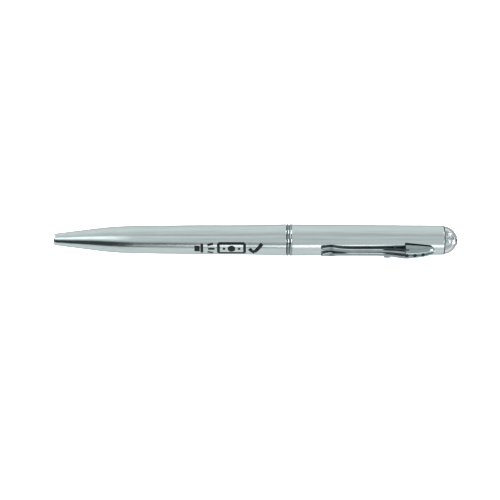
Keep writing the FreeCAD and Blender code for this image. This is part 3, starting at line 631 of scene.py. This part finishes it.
def gloss_black():
    """Black stoving enamel: glossy, very slightly uneven, with dust-fine dulling."""
    material, tree = new_material("enamel_black")
    place = add(tree, "ShaderNodeTexCoord").outputs["Object"]
    mottle = add(tree, "ShaderNodeTexNoise", {}, {"Vector": place, "Scale": 2600.0, "Detail": 3.0})
    colour = add(tree, "ShaderNodeMix", {"data_type": "RGBA"}, {
        "Factor": mottle.outputs["Fac"], "A": linear("#070A0C"), "B": linear("#12171A")})
    roughness = add(tree, "ShaderNodeMapRange", {}, {
        "Value": mottle.outputs["Fac"], "From Min": 0.3, "From Max": 0.7, "To Min": 0.34, "To Max": 0.48})
    bump = add(tree, "ShaderNodeBump", {}, {
        "Height": mottle.outputs["Fac"], "Strength": 0.1, "Distance": 0.00001})
    show(tree, add(tree, "ShaderNodeBsdfPrincipled", {}, {
        "Base Color": colour.outputs["Result"], "Roughness": roughness.outputs["Result"],
        "Specular IOR Level": 0.2, "Normal": bump.outputs["Normal"]}))
    return material


enamel = gloss_black()
FIRST_STUD = 119.15
STUD_SPACING = 2.68
STUD_R = 0.7
STUD_PROUD = 0.07
STUD_SUNK = -0.35
stud_outline = rounded([
    (STUD_SUNK, 0.0, 0.0),
    (STUD_SUNK, STUD_R, 0.05),
    (STUD_PROUD, STUD_R, 0.1),
    (STUD_PROUD, 0.0, 0.0),
], run=0.1)
for number in range(3):
    stud_station = FIRST_STUD + STUD_SPACING * number
    stud = spun(f"clip_stud_{number + 1}", stud_outline, axis=(0, -1, 0), steps=64,
                foot=(NOSE_X + stud_station * MM, -head_crest(stud_station) * MM, 0))
    nodes = ["clip_studs"] if number == 0 else []
    finish_piece(stud, "upper", "black_enamel", enamel, *nodes)

# ---- clip arm -------------------------------------------------------------------------------
# A spring strip rolled into two beads side by side, chromium plated. The beads part at the front into
# a forked tip, touch the barrel just behind it, and rise at the rear into the clip head.


def through(value, knots):
    """A smooth curve through the knots (place, height): cubic pieces that share each knot's mean slope."""
    places, heights = np.array(knots, float).T
    slopes = np.gradient(heights, places)
    before = np.clip(np.searchsorted(places, value) - 1, 0, len(places) - 2)
    after = before + 1
    length = places[after] - places[before]
    t = np.clip((value - places[before]) / length, 0, 1)
    return ((2 * t ** 3 - 3 * t ** 2 + 1) * heights[before]
            + (t ** 3 - 2 * t ** 2 + t) * length * slopes[before]
            + (3 * t ** 2 - 2 * t ** 3) * heights[after]
            + (t ** 3 - t ** 2) * length * slopes[after])


ARM_TIP = 90.3
ARM_ROOT = 120.2
TIP_ROUND = 0.7
BEAD_HEIGHT = 0.55
BEAD_SAG = 0.10
TIP_LIFT = 0.2
FORK_END = 95.0
FORK_BULGE = 93.9
HALF_WIDTHS = [(ARM_TIP, 2.15), (91.6, 2.18), (93.7, 2.42), (96.0, 2.06), (98.6, 1.88), (106.0, 1.82),
               (112.0, 1.88), (118.4, 2.1), (ARM_ROOT, 2.1)]
CREST_LEVELS = [(ARM_TIP, 6.1), (92.0, 5.93), (93.8, 5.9), (96.0, 6.02), (99.0, 6.18), (106.0, 6.22),
                (111.5, 6.3), (114.5, 6.6), (118.4, 7.2), (ARM_ROOT, 7.3)]
FORK_GAPS = [(ARM_TIP, 0.8), (91.4, 0.5), (92.8, 0.1), (94.6, 0.0), (ARM_ROOT, 0.0)]


def bead_surface(side):
    """One bead of the arm, on the side +Z or -Z. Rows are stations, columns go round the section: half an
    ellipse above, a shallow curve below. The tip is rounded by shrinking the section about its own middle.
    Painted shade grows down the flanks and under the bead, for the shadow in the gap over the barrel and
    the dark that the barrel reflects there, most of all towards the other bead, and on the fork's bulge and
    prongs. It is wider on the flanks of the upper bead, +Z, and deeper on the prong of the lower one."""
    tip = np.sin(np.linspace(0, np.pi / 2, 12))
    station = np.concatenate([
        ARM_TIP + TIP_ROUND * (1 - np.sqrt(1 - tip ** 2)),
        np.linspace(ARM_TIP + TIP_ROUND, ARM_ROOT, 140)[1:],
    ])
    shrink = np.concatenate([tip, np.ones(len(station) - len(tip))])
    shrink[-1] = 0
    half = through(station, HALF_WIDTHS)
    gap = through(station, FORK_GAPS)
    crest = through(station, CREST_LEVELS)
    turn = np.linspace(0, 2 * np.pi, 49)[:-1]
    across = -np.cos(turn)
    rise = np.sin(turn)
    over = np.where(rise > 0, BEAD_HEIGHT * rise, BEAD_SAG * rise)
    middle = (gap + half) / 2
    z = middle[:, None] + (half - gap)[:, None] / 2 * across[None] * shrink[:, None]
    height = (crest - BEAD_HEIGHT)[:, None] + TIP_LIFT * (1 - shrink[:, None]) + over[None] * shrink[:, None]
    x = np.repeat(station[:, None], len(turn), 1)
    # Painted shade: flanks, underside, the fold between the beads, the fork's bulge and prongs are darkened.
    inner_start, outer_start = (0.4, 0.62) if side > 0 else (0.68, 0.8)
    flank = 0.12 + 0.5 * rising(0.8 - rise, 0, 0.7)
    flank += 0.75 * rising(-across, inner_start, 0.25)
    flank += 0.5 * rising(across, outer_start, 0.2)
    flank = np.clip(flank, 0, np.where(rise > 0, 0.85, 0.4))
    bulge = 0.3 * bell(station - FORK_BULGE, 0.7)
    prong = rising(FORK_END - station, 0, 1.5) * (0.65 if side < 0 else 0.25)
    dark = np.clip(flank[None] + bulge[:, None] + prong[:, None] * rising(across, 0.45, 0.3)[None], 0, 0.9)
    return np.stack([NOSE_X + x * MM, -height * MM, side * z * MM], -1), dark


beads = [bead_surface(1), bead_surface(-1)]
clip_arm = grid_piece("clip_arm_rolled", [points for points, dark in beads], wrap_columns=True,
                      painted_shades=[dark for points, dark in beads])
clip_arm.data.materials.append(chrome)
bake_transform(clip_arm)
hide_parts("clip_arm")

# ---- push button ----------------------------------------------------------------------------
# The lamp's push button: a crowned stem moulded in grey ABS, with a thin black seal round it where it
# passes through the barrel wall.


def moulded_plastic(name, colour, shade, low_roughness, high_roughness, grit_mm=0.12):
    """Moulded plastic: even colour with a slight cloudiness, and the fine spark-eroded grit of its mould."""
    material, tree = new_material(name)
    place = add(tree, "ShaderNodeTexCoord").outputs["Object"]
    cloud = add(tree, "ShaderNodeTexNoise", {}, {"Vector": place, "Scale": 300.0, "Detail": 3.0})
    grit = add(tree, "ShaderNodeTexNoise", {}, {"Vector": place, "Scale": 1 / (grit_mm * MM), "Detail": 2.0})
    mixed = add(tree, "ShaderNodeMix", {"data_type": "RGBA"}, {
        "Factor": cloud.outputs["Fac"], "A": linear(shade), "B": linear(colour)})
    roughness = add(tree, "ShaderNodeMapRange", {}, {
        "Value": grit.outputs["Fac"], "From Min": 0.3, "From Max": 0.7,
        "To Min": low_roughness, "To Max": high_roughness})
    bump = add(tree, "ShaderNodeBump", {}, {
        "Height": grit.outputs["Fac"], "Strength": 0.15, "Distance": 0.00002})
    show(tree, add(tree, "ShaderNodeBsdfPrincipled", {}, {
        "Base Color": mixed.outputs["Result"], "Roughness": roughness.outputs["Result"],
        "Normal": bump.outputs["Normal"]}))
    return material


button_axis = -np.array(joints["uv_button"]["axis"]) @ ROLL
BUTTON_STATION = 113.0
BUTTON_R = 1.2
FLANGE_R = 1.6
button_foot = (NOSE_X + BUTTON_STATION * MM, 0, 0)
grey_abs = moulded_plastic("abs_grey_moulded", "#8D9796", "#7E8887", 0.30, 0.42)
push_button = spun("push_button_moulded", rounded([
    (3.2, 0.0, 0.0),
    (3.2, FLANGE_R, 0.05),
    (3.8, FLANGE_R, 0.05),
    (3.8, BUTTON_R, 0.05),
    (5.95, BUTTON_R, 0.45),
    (6.1, 0.0, 0.0),
], run=0.2), foot=button_foot, axis=button_axis, steps=96)
finish_piece(push_button, "button", "button_plastic", grey_abs, "push_button")


def seal_surface(centre_station, axis, inner_radius, width, proud):
    """A thin round seal bent over the barrel: rows go round it, columns round its flat oval section, and
    each point is dropped onto the barrel's cylinder along the button's direction."""
    turn = np.linspace(0, 2 * np.pi, 97)[:-1][:, None]
    section = np.linspace(0, 2 * np.pi, 17)[:-1][None]
    radius = inner_radius + width / 2 + width / 2 * np.cos(section)
    along = radius * np.cos(turn)
    across = radius * np.sin(turn)
    barrel = upper_radius(centre_station)
    level = np.sqrt(barrel ** 2 - across ** 2) + proud * np.sin(section)
    side = np.cross(axis, (1, 0, 0))
    grid = level[..., None] * axis + across[..., None] * side
    grid[..., 0] += centre_station + along
    return np.array((NOSE_X, 0, 0)) + grid * MM


black_rubber = moulded_plastic("rubber_black", "#15181A", "#0C0E10", 0.55, 0.75)
seal_grid = seal_surface(BUTTON_STATION, button_axis, inner_radius=1.22, width=0.16, proud=0.04)
button_seal = grid_piece("button_seal", [seal_grid], wrap_rows=True, wrap_columns=True)
finish_piece(button_seal, "upper", "seal_rubber", black_rubber)

# ---- lamp holder ----------------------------------------------------------------------------
# The LED's holder closes the barrel's end: ABS with a shallow dish round the lamp, metallised in a
# vacuum so that it reflects the lamp forwards. The dish's dimples glitter through the dome.


def metallised_plastic():
    """Vacuum-metallised ABS: bright aluminium over moulded dimples about 0.9 mm apart, greyed by lacquer."""
    material, tree = new_material("abs_vacuum_metallised")
    place = add(tree, "ShaderNodeTexCoord").outputs["Object"]
    dimples = add(tree, "ShaderNodeTexVoronoi", {"feature": "SMOOTH_F1"}, {
        "Vector": place, "Scale": 1100.0, "Smoothness": 0.6})
    haze = add(tree, "ShaderNodeTexNoise", {}, {"Vector": place, "Scale": 1500.0, "Detail": 3.0})
    colour = add(tree, "ShaderNodeMix", {"data_type": "RGBA"}, {
        "Factor": haze.outputs["Fac"], "A": linear("#4A5657"), "B": linear("#C2CCCB")})
    bump = add(tree, "ShaderNodeBump", {}, {
        "Height": dimples.outputs["Distance"], "Strength": 0.9, "Distance": 0.0003})
    show(tree, add(tree, "ShaderNodeBsdfPrincipled", {}, {
        "Base Color": colour.outputs["Result"], "Metallic": 1.0, "Roughness": 0.16,
        "Normal": bump.outputs["Normal"]}))
    return material


HOLDER_START = 128.2
HOLDER_END = 131.2
DISH_FLOOR = 130.5
LEAD_HOLE_R = 1.0
PLUG_R = 4.33
led_holder = spun("led_holder_dished", rounded([
    (HOLDER_START, LEAD_HOLE_R, 0.05),
    (HOLDER_START, PLUG_R, 0.1),
    (HOLDER_END, PLUG_R, 0.05),
    (HOLDER_END - 0.05, 3.9, 0.2),
    (DISH_FLOOR, 2.1, 0.2),
    (DISH_FLOOR, LEAD_HOLE_R, 0.05),
], run=0.3), steps=128)
finish_piece(led_holder, "upper", "holder_plastic", metallised_plastic(), "led_holder")

# ---- LED ------------------------------------------------------------------------------------
# A 3 mm ultraviolet LED: two tinned lead frames in clear epoxy, the wider one with a small bright cup
# that holds the chip, under a hemispherical tip that just shows at the top of the dome.


def clear_plastic(name, colour, index, ripple, roughness_value):
    """Clear cast or moulded plastic: transparent, with the faint ripple that moulded surfaces keep."""
    material, tree = new_material(name)
    place = add(tree, "ShaderNodeTexCoord").outputs["Object"]
    swirl = add(tree, "ShaderNodeTexNoise", {}, {"Vector": place, "Scale": 520.0, "Detail": 2.0})
    bump = add(tree, "ShaderNodeBump", {}, {
        "Height": swirl.outputs["Fac"], "Strength": ripple, "Distance": 0.0001})
    show(tree, add(tree, "ShaderNodeBsdfPrincipled", {}, {
        "Base Color": linear(colour), "Roughness": roughness_value, "IOR": index,
        "Transmission Weight": 1.0, "Normal": bump.outputs["Normal"]}))
    return material


LED_TIP = 136.8
LED_R = 1.5
LED_FLANGE_R = 1.9
LED_FLANGE_END = 132.0
epoxy = clear_plastic("epoxy_clear", "#E9ECF8", 1.54, 0.05, 0.03)
tip_angle = np.linspace(np.pi / 2, 0, 25)
led_outline = np.concatenate([
    [(HOLDER_END, 0.0), (HOLDER_END, 1.0), (HOLDER_END, LED_FLANGE_R - 0.05),
     (HOLDER_END + 0.05, LED_FLANGE_R), (LED_FLANGE_END - 0.05, LED_FLANGE_R),
     (LED_FLANGE_END, LED_FLANGE_R - 0.05), (LED_FLANGE_END, LED_R + 0.05),
     (LED_FLANGE_END + 0.05, LED_R), (133.0, LED_R), (134.5, LED_R)],
    np.stack([LED_TIP - LED_R + LED_R * np.cos(tip_angle), LED_R * np.sin(tip_angle)], 1),
])
led_lens = spun("led_epoxy_lens", led_outline, steps=96)
finish_piece(led_lens, "upper", "led_epoxy", epoxy, "led_lens")

# ---- dome -----------------------------------------------------------------------------------
# The clear acrylic dome over the lamp: a moulded cap 1.1 mm thick whose skirt plugs into the barrel,
# with a round hole at its top that the LED's tip fills.

DOME_R = 4.75
DOME_CENTRE = 131.85
DOME_WALL = 1.1
DOME_HOLE_R = 1.58
outer_start = math.acos((UPPER_END + 0.06 - DOME_CENTRE) / DOME_R)
outer_end = math.asin((DOME_HOLE_R + 0.12) / DOME_R)
outer_angle = np.linspace(outer_start, outer_end, 48)
inner_r = DOME_R - DOME_WALL
inner_angle = np.linspace(math.asin(DOME_HOLE_R / inner_r), math.pi / 2, 40)
dome_outline = np.concatenate([
    np.stack([DOME_CENTRE + DOME_R * np.cos(outer_angle), DOME_R * np.sin(outer_angle)], 1),
    [(136.27, DOME_HOLE_R + 0.03), (136.2, DOME_HOLE_R), (135.8, DOME_HOLE_R)],
    np.stack([DOME_CENTRE + inner_r * np.cos(inner_angle), inner_r * np.sin(inner_angle)], 1),
    [(HOLDER_END + 0.05, inner_r), (HOLDER_END, inner_r + 0.05), (HOLDER_END, PLUG_R - 0.05),
     (HOLDER_END + 0.05, PLUG_R), (131.9, PLUG_R), (UPPER_END, 4.4), (UPPER_END + 0.02, 4.70)],
])
acrylic = clear_plastic("acrylic_clear", "#F2F8F7", 1.49, 0.06, 0.02)
dome = spun("dome_acrylic", dome_outline, steps=144)
finish_piece(dome, "upper", "clear_acrylic", acrylic, "dome_lens")

# ---- dome's black rings ---------------------------------------------------------------------
# Painted shade: black rings lie in the seam between the barrel and the dome, and round the LED's tip in
# the dome's hole, standing in for the dark lines that shade and refraction make there.


def bead_ring(station, radius, half_length, half_height):
    """The outline of a bead of sealant: an ellipse about (station, radius), sampled all round."""
    turn = np.linspace(0, 2 * np.pi, 25)[:-1]
    return np.stack([station + half_length * np.cos(turn), radius + half_height * np.sin(turn)], 1)


# Painted shade: the rings' black stands in for the dark of these seams.
seam_shade_black = moulded_plastic("black_painted_seam_shade", "#20282A", "#14191B", 0.35, 0.5)
for label, outline in (
    ("rim", bead_ring(UPPER_END + 0.04, 4.74, 0.19, 0.2)),
    ("tip", bead_ring(136.34, 1.5, 0.2, 0.16)),
):
    seal = spun(f"dome_painted_shade_ring_{label}", outline, steps=144)
    finish_piece(seal, "upper", "seal_rubber", seam_shade_black)

# ---- what stays as the CAD made it ----------------------------------------------------------
# The pieces inside the pen, and the writing ball, keep their CAD shapes. Each takes the finish of what
# it is made of.

black_abs = moulded_plastic("abs_black_moulded", "#1C1F21", "#131517", 0.35, 0.5)
black_acetal = moulded_plastic("acetal_black", "#26292B", "#1A1C1E", 0.3, 0.45)
nickel = turned_metal("nickel_plated_steel", "#C9C8C2", "#B2B1AB", 0.2)
clear_tube = moulded_plastic("polypropylene_tube", "#DDE2E1", "#CBD2D1", 0.25, 0.4)
ink = moulded_plastic("ink_paste", "#05060C", "#020308", 0.15, 0.25)
laminate = moulded_plastic("board_solder_mask", "#1F6A3C", "#17532E", 0.3, 0.45)
FINISHES = {
    "mech_guide": black_acetal, "retaining_ring": spring_wire,
    "writing_ball": carbide, "refill_tube": clear_tube, "refill_ink": ink, "refill_stop": clear_tube,
    "spring_collar": brass, "pusher": black_acetal, "cam_pin": carbide, "cam_sleeve": black_acetal,
    "joint_plug": black_abs, "grip_o_ring": black_rubber, "contact_spring": spring_wire,
    "clip_rivets": spring_wire, "cell_1": nickel, "cell_2": nickel, "cell_3": nickel,
    "cell_carrier": black_abs, "contact_plate": brass, "contact_tab": brass, "circuit_board": laminate,
    "switch_case": black_abs, "switch_plunger": black_abs, "resistor": black_abs, "led_leads": spring_wire,
}
for node_name, finish in FINISHES.items():
    node_mesh = frame["nodes"][node_name].data
    node_mesh.materials.clear()
    node_mesh.materials.append(finish)

# ---- floor, light and camera ----------------------------------------------------------------
# A white floor of opal acrylic, lit from below, under even light. Gloss sees the studio itself: pale
# walls, dark behind the pen, a strip light low in front, a black flag at the nose's side with a softbox
# above it, and three spots towards the dome.

scene = bpy.context.scene
CLIP_TO_SIGHT = math.radians(44)
ELEVATION = CLIP_TO_SIGHT - LYING
towards_camera = Vector((0, -math.cos(ELEVATION), math.sin(ELEVATION)))
view_up = Vector((0, math.sin(ELEVATION), math.cos(ELEVATION)))
FLOOR_HALF = 8.0
floor_z = cad_box[0][2]
floor_mesh = bpy.data.meshes.new("floor")
floor_mesh.from_pydata([(-FLOOR_HALF, -FLOOR_HALF, floor_z), (FLOOR_HALF, -FLOOR_HALF, floor_z),
                        (FLOOR_HALF, FLOOR_HALF, floor_z), (-FLOOR_HALF, FLOOR_HALF, floor_z)],
                       [], [(0, 1, 2, 3)])
floor = bpy.data.objects.new("floor", floor_mesh)
scene.collection.objects.link(floor)
floor_material, floor_tree = new_material("floor_opal_acrylic")
show(floor_tree, add(floor_tree, "ShaderNodeBsdfPrincipled", {}, {
    "Base Color": linear("#F6F7F7"), "Roughness": 0.9, "Specular IOR Level": 0.1,
    "Emission Color": linear("#FFFFFF"), "Emission Strength": 0.92}))
floor_mesh.materials.append(floor_material)
floor.visible_glossy = False
floor.visible_transmission = False

world = bpy.data.worlds.new("studio")
world.use_nodes = True
sky = world.node_tree
sky.nodes.clear()
scene.world = world


def calc(operation, first, second=0.0, third=0.0):
    """One Math node in the studio's tree."""
    node = add(sky, "ShaderNodeMath", {"operation": operation})
    for socket, value in zip(node.inputs, (first, second, third)):
        if isinstance(value, bpy.types.NodeSocket):
            sky.links.new(value, socket)
        else:
            socket.default_value = value
    return node.outputs[0]


def fade(value, start, end):
    """0 before start and 1 after end, smoothly; start may be above end, which turns it round."""
    node = add(sky, "ShaderNodeMapRange", {"interpolation_type": "SMOOTHSTEP"}, {
        "Value": value, "From Min": start, "From Max": end})
    return node.outputs["Result"]


def window(value, half_width, soft):
    """1 while value is within half_width of 0, fading out over soft beyond it."""
    beyond = calc("SUBTRACT", calc("ABSOLUTE", value), half_width)
    return calc("SUBTRACT", 1.0, fade(beyond, 0.0, soft))


# Sideways runs from -1 at the nose's end to 1 at the dome's. The round angle is in degrees about the
# pen: 0 level in front, 90 overhead, -90 below and 180 behind. The whole studio is turned by 1 degree.
STUDIO_TURN = 1.0
world_direction = add(sky, "ShaderNodeTexCoord").outputs["Generated"]
direction = add(sky, "ShaderNodeSeparateXYZ", {}, {"Vector": world_direction})
sideways = direction.outputs["X"]
forwards = calc("MULTIPLY", direction.outputs["Y"], -1.0)
in_degrees = calc("MULTIPLY", calc("ARCTAN2", direction.outputs["Z"], forwards), 180 / math.pi)
round_angle = calc("SUBTRACT", in_degrees, STUDIO_TURN)
WALL_TINT = (0.965, 1.005, 1.0)
WALL_TONES = [(-180, 0.30), (-150, 0.45), (-125, 0.78), (-90, 0.88), (-62, 0.84), (-50, 0.84), (-20, 0.76),
              (-8, 0.66), (0, 0.82), (12, 0.62), (30, 0.80), (50, 0.58), (62, 0.72), (90, 0.90), (118, 0.90),
              (140, 0.80), (160, 0.50), (180, 0.30)]
walls = add(sky, "ShaderNodeValToRGB", {}, {"Fac": calc("MULTIPLY_ADD", round_angle, 1 / 360, 0.5)})
ramp = walls.color_ramp
while len(ramp.elements) < len(WALL_TONES):
    ramp.elements.new(0.5)
for stop, (angle, tone) in zip(ramp.elements, WALL_TONES):
    stop.position = angle / 360 + 0.5
    stop.color = [tone * part for part in WALL_TINT] + [1.0]

# The strip light lies level along the pen, from just short of its middle to the dome's end.
STRIP_ANGLE = -38.0
STRIP_HALF = 5.0
STRIP_STRENGTH = 1.7
strip_offset = calc("SUBTRACT", round_angle, STRIP_ANGLE)
strip = calc("MULTIPLY", window(strip_offset, STRIP_HALF, 4.0), fade(sideways, -0.062, -0.02))

# The flag is a wedge that opens towards the nose and climbs with the nose's taper. The softbox climbs
# beside it. Noseward is how far beyond the flag's corner a direction lies.
FLAG_CORNER = -0.115
FLAG_DEPTH = 0.97
noseward = calc("SUBTRACT", FLAG_CORNER, sideways)
flag_offset = calc("SUBTRACT", round_angle, calc("MULTIPLY_ADD", noseward, 36.0, -33.5))
flag_half = calc("MINIMUM", calc("MULTIPLY_ADD", noseward, 20.0, 20.0),
                 calc("MULTIPLY_ADD", noseward, 110.0, 26.0))
beyond_flag = calc("SUBTRACT", calc("ABSOLUTE", flag_offset), flag_half)
flag = calc("MULTIPLY", calc("SUBTRACT", 1.0, fade(beyond_flag, -3.0, 6.0)), fade(sideways, -0.005, -0.055))
SOFTBOX_HALF = 8.0
SOFTBOX_STRENGTH = 0.9
softbox_offset = calc("SUBTRACT", round_angle, calc("MULTIPLY_ADD", noseward, 40.0, 20.0))
softbox = calc("MULTIPLY", window(softbox_offset, SOFTBOX_HALF, 14.0), fade(sideways, -0.07, -0.28))

# Each spot is a small round lamp in a direction given as (sideways, up, near) as the camera stands.
SPOTS = [(0.746, 0.657, 0.113), (0.82, -0.106, 0.563), (0.951, -0.155, -0.265)]
SPOT_STRENGTH = 16.0
lit = calc("MULTIPLY_ADD", strip, STRIP_STRENGTH, calc("MULTIPLY", softbox, SOFTBOX_STRENGTH))
for right, above, near in SPOTS:
    lamp = Vector((right, 0, 0)) + view_up * above + towards_camera * near
    towards_lamp = add(sky, "ShaderNodeVectorMath", {"operation": "DOT_PRODUCT"}, {
        0: world_direction, 1: tuple(lamp.normalized())})
    lit = calc("MULTIPLY_ADD", fade(towards_lamp.outputs["Value"], 0.975, 0.992), SPOT_STRENGTH, lit)

# Gloss and clear plastic see the studio; the floor's surroundings and the soft light come from an even
# white.
shaded = add(sky, "ShaderNodeMix", {"data_type": "RGBA"}, {
    "Factor": calc("MULTIPLY", flag, FLAG_DEPTH), "A": walls.outputs["Color"], "B": linear("#1C2A2D")})
room = add(sky, "ShaderNodeBackground", {}, {"Color": shaded.outputs["Result"]})
lamps = add(sky, "ShaderNodeBackground", {}, {"Color": linear("#FFFFFF"), "Strength": lit})
studio = add(sky, "ShaderNodeAddShader", {}, {0: room.outputs[0], 1: lamps.outputs[0]})
even = add(sky, "ShaderNodeBackground", {}, {"Color": linear("#FCFEFF"), "Strength": 1.1})
ray = add(sky, "ShaderNodeLightPath")
sees_even = calc("MAXIMUM", ray.outputs["Is Camera Ray"], ray.outputs["Is Diffuse Ray"])
choice = add(sky, "ShaderNodeMixShader", {}, {
    "Fac": calc("SUBTRACT", 1.0, sees_even), 1: even.outputs[0], 2: studio.outputs[0]})
add(sky, "ShaderNodeOutputWorld", {}, {"Surface": choice.outputs[0]})

key = bpy.data.lights.new("key_softbox", "AREA")
key.shape = "RECTANGLE"
key.size = 0.5
key.size_y = 0.35
key.energy = 1.2
key_lamp = bpy.data.objects.new("key_softbox", key)
key_lamp.location = (-0.55, -0.05, 0.45)
key_lamp.rotation_euler = (-Vector(key_lamp.location)).to_track_quat("-Z", "Y").to_euler()
scene.collection.objects.link(key_lamp)

DISTANCE = 0.62
VIEW_WIDTH = 0.1695
SENSOR_WIDTH = 36.0
VIEW_TILT = math.radians(0.11)
AIM_X = 0.00943
AIM_BELOW_PEN = 0.00346
camera_data = bpy.data.cameras.new("camera")
camera = bpy.data.objects.new("camera", camera_data)
scene.collection.objects.link(camera)
scene.camera = camera
aim = Vector((AIM_X, 0, 0)) - view_up * AIM_BELOW_PEN
camera.location = aim + towards_camera * DISTANCE
facing = Matrix((Vector((1, 0, 0)), view_up, towards_camera)).transposed()
camera.rotation_euler = (facing @ Matrix.Rotation(VIEW_TILT, 3, "Z")).to_euler()
camera_data.sensor_width = SENSOR_WIDTH
camera_data.lens = SENSOR_WIDTH * DISTANCE / VIEW_WIDTH
camera_data.clip_start = 0.01
scene.view_settings.view_transform = "Standard"
